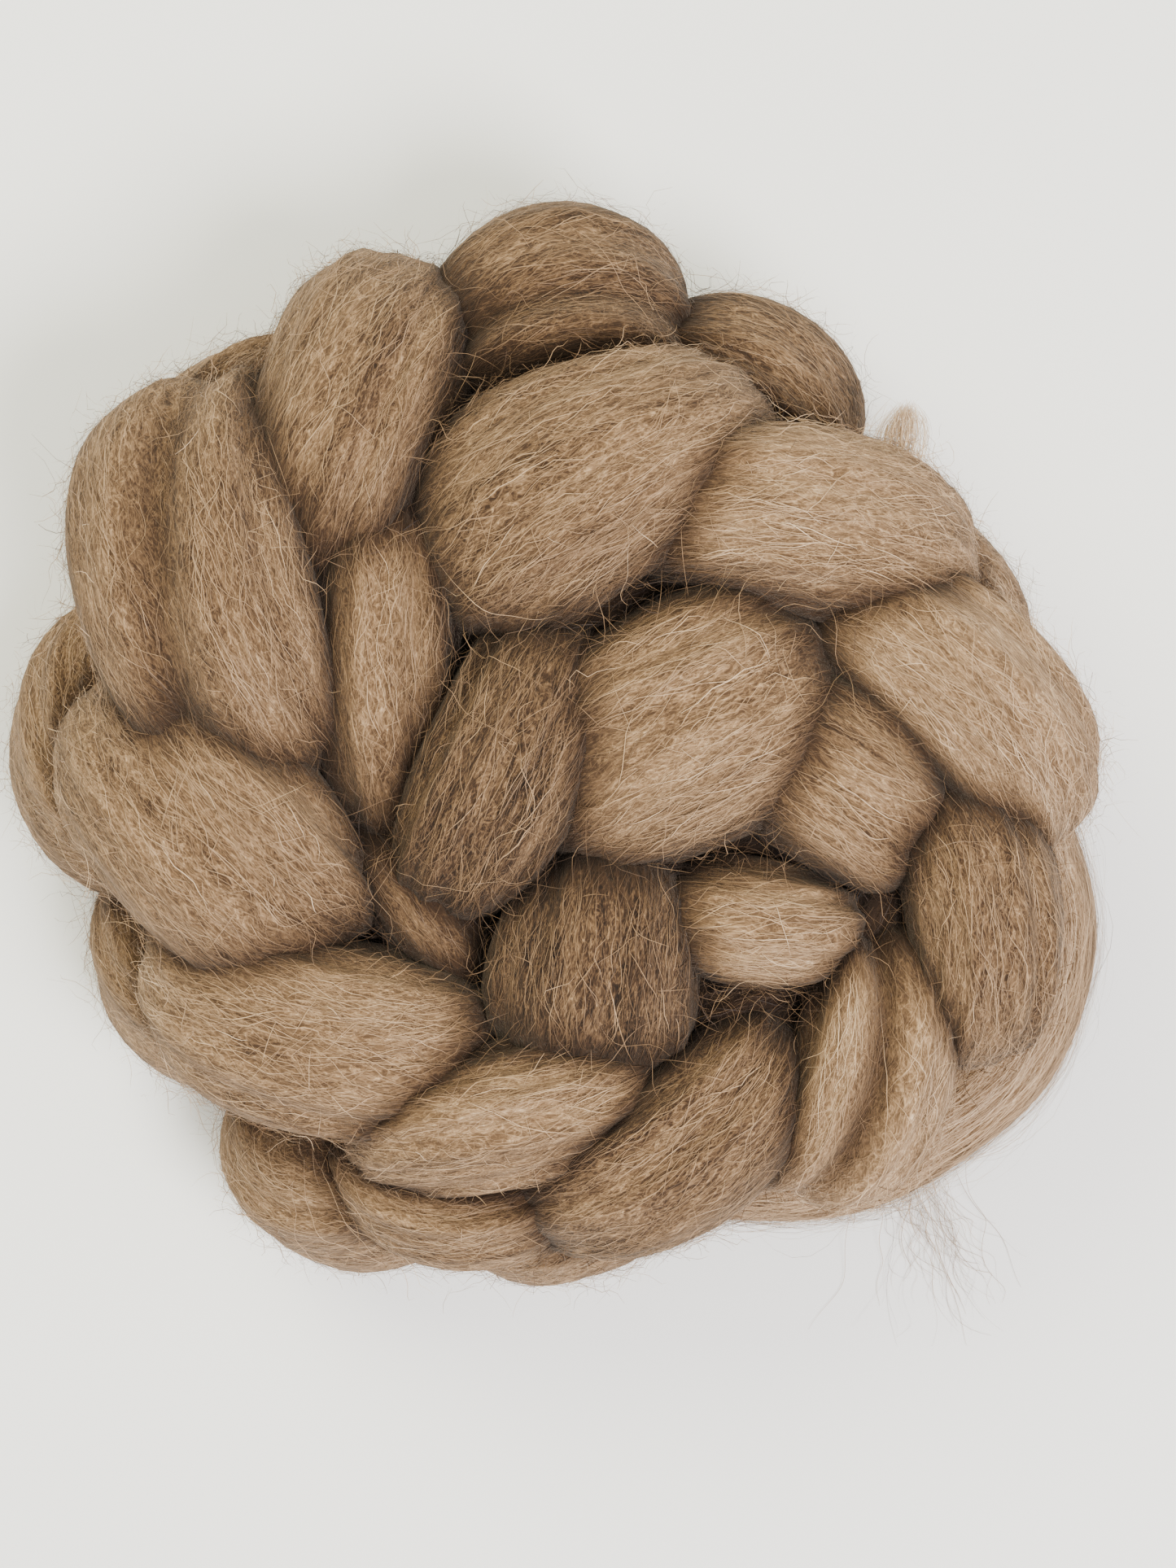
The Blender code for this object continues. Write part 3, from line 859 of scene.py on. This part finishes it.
def fly_piece(roots, normals, share, lobe_tone):
    """Loose fibres that stand off the wool in thin curls, most of them round the bundle's sides."""
    middle = LYING_MIDDLE
    steepness = 1 - np.abs(normals[:, middle, 2])
    chance = 0.12 + 3.0 * steepness ** 2
    pick = rng.choice(len(roots), FLY_FIBRES, replace=False, p=chance / chance.sum())
    start = roots[pick, middle]
    up = normals[pick, middle]
    ahead = unit(roots[pick, middle + 1] - roots[pick, middle - 1])
    ahead = ahead * rng.choice([-1, 1], FLY_FIBRES)[:, None]
    aside = np.cross(up, ahead)
    length = rng.uniform(*FLY_LENGTH, FLY_FIBRES)[:, None]
    rise = rng.gamma(1.8, 0.12, FLY_FIBRES)[:, None]
    t = np.linspace(0, 1, FLY_POINTS)[None, :]
    curl = rng.uniform(0.4, 2.0, FLY_FIBRES)[:, None] * t
    phase = rng.uniform(0, FULL_TURN, FLY_FIBRES)[:, None]
    turns = length * rng.uniform(0.5, 1.3, FLY_FIBRES)[:, None]
    drift = rng.normal(0, 0.45, FLY_FIBRES)[:, None]
    forward = length * t * (1 - 0.25 * t)
    height = (-0.2 + np.minimum(length * rise * t ** 1.5, FLY_REACH)
              + curl * np.cos(turns * t + phase) * 0.6)
    sideways = length * drift * t ** 1.6 + curl * np.sin(turns * t + phase)
    path = (start[:, None] + ahead[:, None] * forward[..., None] + up[:, None] * height[..., None]
            + aside[:, None] * sideways[..., None])
    place = np.repeat(share[pick, middle:middle + 1], FLY_POINTS, axis=1)
    tones = fibre_tones(place, lobe_tone[pick], FLY_TONE)
    loose_hairs("wool_flyaways", path, FLY_WIDTH, (0.7, 1.3), tones)


def bridge_piece(roots, normals):
    """Fibres that cross from one lobe to the next, over the crevice between them."""
    found = []
    nearest, furthest = BRIDGE_SPAN
    places = roots[:, LYING_MIDDLE]
    facings = normals[:, LYING_MIDDLE]
    for i in rng.permutation(len(roots)):
        if len(found) >= BRIDGE_FIBRES:
            break
        others = rng.choice(len(roots), BRIDGE_TRIES)
        far = np.linalg.norm(places[others] - places[i], axis=1)
        alike = (facings[others] * facings[i]).sum(1)
        rise = facings[others, 2] + facings[i, 2]
        good = (far > nearest) & (far < furthest) & (alike < BRIDGE_FACING) & (rise > BRIDGE_RISE)
        if good.any():
            found.append((i, others[np.argmax(good)]))
    pairs = np.array(found)
    a, b = places[pairs[:, 0]], places[pairs[:, 1]]
    up = unit(facings[pairs[:, 0]] + facings[pairs[:, 1]])
    t = np.linspace(0, 1, BRIDGE_POINTS)[None, :, None]
    bulge = rng.uniform(0.2, 2.0, len(a))[:, None, None]
    aside = unit(np.cross(b - a, up))[:, None]
    wave = rng.uniform(-1.2, 1.2, len(a))[:, None, None]
    path = a[:, None] * (1 - t) + b[:, None] * t + up[:, None] * bulge * np.sin(np.pi * t)
    path = path + aside * wave * np.sin(np.pi * 2 * t)
    # Their tones are low: partly the fibres' own tone, partly painted shade of the crevices they cross.
    tones = np.repeat(rng.uniform(0.2, 0.6, len(a))[:, None], BRIDGE_POINTS, axis=1)
    loose_hairs("wool_bridges", path, FLY_WIDTH, (0.7, 1.3), tones)


def stray_piece():
    """Single long hairs that wander over the lobes, high enough to catch the light."""
    t = np.linspace(0, 1, STRAY_POINTS)
    tested = slice(None, None, 6)
    paths = []
    for _ in range(STRAY_FIBRES * STRAY_TRIES):
        if len(paths) == STRAY_FIBRES:
            break
        lobe = LOBES[rng.integers(len(LOBES))]
        length = rng.uniform(*STRAY_LENGTH)
        swerve = rng.normal(0, 0.9)
        s_line = rng.uniform(-0.7, 0.7) + length * np.cos(swerve) / lobe.run * (t - 0.5)
        loops = rng.uniform(0.5, 2.2, 3)
        wander = (rng.normal(0, 1.6) * np.sin(loops[0] * 2 * np.pi * t + rng.uniform(0, 6))
                  + rng.normal(0, 0.7) * np.sin(loops[1] * 5 * np.pi * t + rng.uniform(0, 6)))
        across = (length * np.sin(swerve) * (t - 0.5) + wander) / (lobe.girth / FULL_TURN)
        turn = rng.uniform(0.1, 0.9) * np.pi + across
        lift = 0.3 + rng.uniform(0.3, 2.2) * np.sin(np.pi * t) ** 2 + 0.3 * np.sin(loops[2] * 7 * t)
        s_line = np.clip(s_line, -0.93, 0.93)
        path = lobe.surface(s_line, turn, lift)
        if shown(path[tested], lobe.normal(s_line[tested], turn[tested])).all():
            paths.append(path)
    paths = np.array(paths)
    tones = np.repeat(rng.uniform(0.60, 0.88, len(paths))[:, None], STRAY_POINTS, axis=1)
    loose_hairs("wool_strays", paths, STRAY_WIDTH, (0.6, 1.1), tones)


def tuft_piece():
    """A small pale tuft of fibres, drawn out of the wool and bent over at its tip."""
    t = np.linspace(0, 1, TUFT_POINTS)[None, :, None]
    spread = rng.normal(0, 1, (TUFT_FIBRES, 1, 3)) * np.array(TUFT_SPREAD)
    foot = np.array(TUFT_FOOT) - OUTLINE_MIDDLE + spread
    tip = np.array(TUFT_TIP) - OUTLINE_MIDDLE + spread * 0.45
    tip = tip + rng.normal(0, 0.5, (TUFT_FIBRES, 1, 3))
    hook = rng.uniform(-2.4, 2.4, (TUFT_FIBRES, 1, 1)) * np.array([1.0, 0.15, 0.3])
    paths = foot + (tip - foot) * t + hook * np.sin(np.pi * t) + np.array([0, 1.4, 0]) * np.sin(np.pi * t)
    tones = np.repeat(rng.normal(0.90, 0.05, TUFT_FIBRES)[:, None], TUFT_POINTS, axis=1)
    loose_hairs("wool_tuft", paths, FLY_WIDTH, (0.6, 1.1), tones)


def wisp_piece():
    """Thin hairs that trail over the floor from beside the loose end."""
    t = np.linspace(0, 1, STRAY_POINTS)[None, :]
    root = np.array(WISP_ROOT) - OUTLINE_MIDDLE + rng.normal(0, 1, (WISPS, 3)) * np.array(WISP_SPREAD)
    heading = np.radians(rng.normal(WISP_HEADING, 9, WISPS))[:, None]
    reach = WISP_REACH * rng.uniform(0.35, 1.0, WISPS)[:, None]
    curl = rng.uniform(0.4, 2.0, (WISPS, 1)) * np.sqrt(t)
    beats = rng.uniform(6, 20, (WISPS, 1))
    start = rng.uniform(0, PHASES, (WISPS, 1))
    sideways = curl * np.sin(beats * t + start) + rng.normal(0, 4, (WISPS, 1)) * t ** 2
    forward = reach * t + 0.6 * curl * np.cos(beats * t + start)
    x = root[:, :1] + forward * np.cos(heading) - sideways * np.sin(heading)
    y = np.maximum(root[:, 1:2] + forward * np.sin(heading) + sideways * np.cos(heading), WISP_FURTHEST)
    z = np.maximum(root[:, 2:] * (1 - t) ** 2, 0.3) + 0 * t
    paths = np.stack([x, y, z], axis=-1)
    tones = np.repeat(rng.uniform(0.50, 0.85, WISPS)[:, None], STRAY_POINTS, axis=1)
    loose_hairs("wool_wisps", paths, STRAY_WIDTH, (0.6, 1.1), tones)


def end_fullness(share):
    """How thick the loose end is at each share of its length: 1, and less towards its tip."""
    past = np.clip((share - END_NARROW_FROM) / END_NARROW_RUN, 0, 1)
    return 1 - END_NARROWING * past ** 2


def end_piece():
    """The loose end: one soft length of combed wool on the floor, its fibres along it."""
    line = end_route(END_STEPS)
    tangent = unit(np.gradient(line, axis=0))
    across = unit(np.cross(UP, tangent))
    turn = np.linspace(0, FULL_TURN, END_SIDES, endpoint=False)
    share = np.linspace(0, 1, END_STEPS)[:, None]
    ridges = (0.25 * np.cos(5 * turn + 4 * share) + 0.2 * np.cos(9 * turn - 3 * share)
              + 0.15 * np.cos(14 * turn))
    radius = (END_DIAMETER / 2 - END_INSET) * end_fullness(share) + ridges
    points = (line[:, None] + across[:, None] * (radius * np.cos(turn))[..., None]
              + UP * (radius * np.sin(turn))[..., None])
    cap_share = 0.05
    cap_near = line[:1].repeat(END_SIDES, 0)[None]
    cap_far = line[-1:].repeat(END_SIDES, 0)[None]
    rings = np.concatenate([cap_near + (points[:1] - cap_near) * cap_share, points,
                            cap_far + (points[-1:] - cap_far) * cap_share]).reshape(-1, 3)
    length = np.linalg.norm(np.diff(line, axis=0), axis=1).sum()
    along = np.concatenate([share[:1], share, share[-1:]]) * length
    grain_radius = 9
    grain = np.stack(np.broadcast_arrays(along, grain_radius * np.cos(turn)[None],
                                         grain_radius * np.sin(turn)[None]), axis=-1).reshape(-1, 3)
    thing = new_mesh("wool_loose_end", over_floor(rings), grid_quads(END_STEPS + 2, END_SIDES))
    set_attribute(thing, "grain", "FLOAT_VECTOR", grain)
    # Painted shade: the loose end is drawn darker towards its underside.
    underside_painted_shade = np.clip(0.75 + 0.25 * (rings[:, 2] - 10) / 10, 0.4, 1.0)
    set_attribute(thing, "open", "FLOAT", underside_painted_shade)
    set_attribute(thing, "tone", "FLOAT", np.full(len(rings), END_TONE))
    dress(thing, WOOL)
    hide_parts("loose_end")
    fibres = end_fibres(line, tangent, across)


def end_fibres(line, tangent, across):
    """Fibres along the loose end, some of them standing off it."""
    steps, count = len(line), END_FIBRES
    t = np.linspace(0, 1, END_FIBRE_POINTS)
    start = rng.uniform(-0.05, 0.95, count)
    reach = rng.uniform(0.08, 0.22, count)
    share = np.clip(start[:, None] + reach[:, None] * t, 0, 1.0)
    turn = rng.uniform(-0.5, math.pi + 0.5, count)[:, None] + rng.normal(0, 0.25, count)[:, None] * t
    loose = rng.gamma(1.8, 0.85, count)
    off = (END_DIAMETER / 2 - END_ROOTS_INSET + loose[:, None] * np.sin(np.pi * t)
           - 0.2 * (1 - np.sin(np.pi * t)))
    off = off * end_fullness(share)
    place = share * (steps - 1)
    low = np.minimum(place.astype(int), steps - 2)
    part = (place - low)[..., None]
    middle = line[low] * (1 - part) + line[low + 1] * part
    out = across[low] * (1 - part) + across[low + 1] * part
    rim = out * np.cos(turn)[..., None] + UP * np.sin(turn)[..., None]
    path = middle + rim * off[..., None]
    sides = unit(np.cross(unit(np.gradient(path, axis=1)), rim))
    tones = np.repeat(rng.normal(0.80, 0.08, count)[:, None], END_FIBRE_POINTS, axis=1)
    # Painted shade: fibres on the loose end's sides and underside are drawn darker.
    tones = tones * (0.80 + 0.2 * np.sin(turn))
    widths = FIBRE_WIDTH * rng.uniform(0.6, 1.4, count)
    thing = ribbons("loose_end_fibres", path, sides, widths, tones, solid="loose_end")
    return thing


def stage():
    """A plain pale floor, soft light all round, and two lamps over the bundle's face."""
    floor_size = 6.0
    mesh = bpy.data.meshes.new("floor")
    half = floor_size / 2
    corners = [(-half, -half, 0), (half, -half, 0), (half, half, 0), (-half, half, 0)]
    mesh.from_pydata(corners, [], [(0, 1, 2, 3)])
    floor = bpy.data.objects.new("floor", mesh)
    bpy.context.scene.collection.objects.link(floor)
    look = bpy.data.materials.new("floor")
    look.use_nodes = True
    shader = look.node_tree.nodes["Principled BSDF"]
    shader.inputs["Base Color"].default_value = (0.92, 0.92, 0.885, 1.0)
    shader.inputs["Roughness"].default_value = 0.9
    mesh.materials.append(look)

    world = bpy.data.worlds.new("soft")
    world.use_nodes = True
    background = world.node_tree.nodes["Background"]
    background.inputs["Color"].default_value = (1.0, 0.985, 0.96, 1.0)
    background.inputs["Strength"].default_value = 1.15
    bpy.context.scene.world = world
    soft_light("key", (0.5, -0.45, 1.0), 0.6, 24.0, (1.0, 0.97, 0.99))
    soft_light("fill", (-0.6, 0.7, 0.8), 0.9, 18.0, (1.0, 0.99, 0.74))


def soft_light(name, place, size, power, colour):
    """A round lamp of size metres that looks at the bundle."""
    data = bpy.data.lights.new(name, "AREA")
    data.shape = "DISK"
    data.size = size
    data.energy = power
    data.color = colour
    thing = bpy.data.objects.new(name, data)
    thing.location = place
    thing.rotation_mode = "QUATERNION"
    thing.rotation_quaternion = (-Vector(place)).to_track_quat("-Z", "Y")
    bpy.context.scene.collection.objects.link(thing)


def camera():
    """Straight over the face, as the photograph looks at it."""
    frame_height = 260.1        # mm of the picture's height at the height of the lobes' sides
    seen_height = 35.0
    distance = 700.0
    sensor = 36.0
    centre = np.array([5.6, -5.6, 0.0]) - OUTLINE_MIDDLE
    data = bpy.data.cameras.new("camera")
    data.sensor_width = sensor
    data.lens = sensor * (distance - seen_height) / frame_height
    data.clip_start = 0.01
    thing = bpy.data.objects.new("camera", data)
    thing.location = (centre[0] * MM, centre[1] * MM, distance * MM)
    bpy.context.scene.collection.objects.link(thing)
    bpy.context.scene.camera = thing


def main():
    camera()
    stage()
    end_piece()
    lobe_pieces()
    core_piece()
    roots, normals, share, lobe_tone = lying_pieces()
    fly_piece(roots, normals, share, lobe_tone)
    bridge_piece(roots, normals)
    stray_piece()
    tuft_piece()
    wisp_piece()


main()
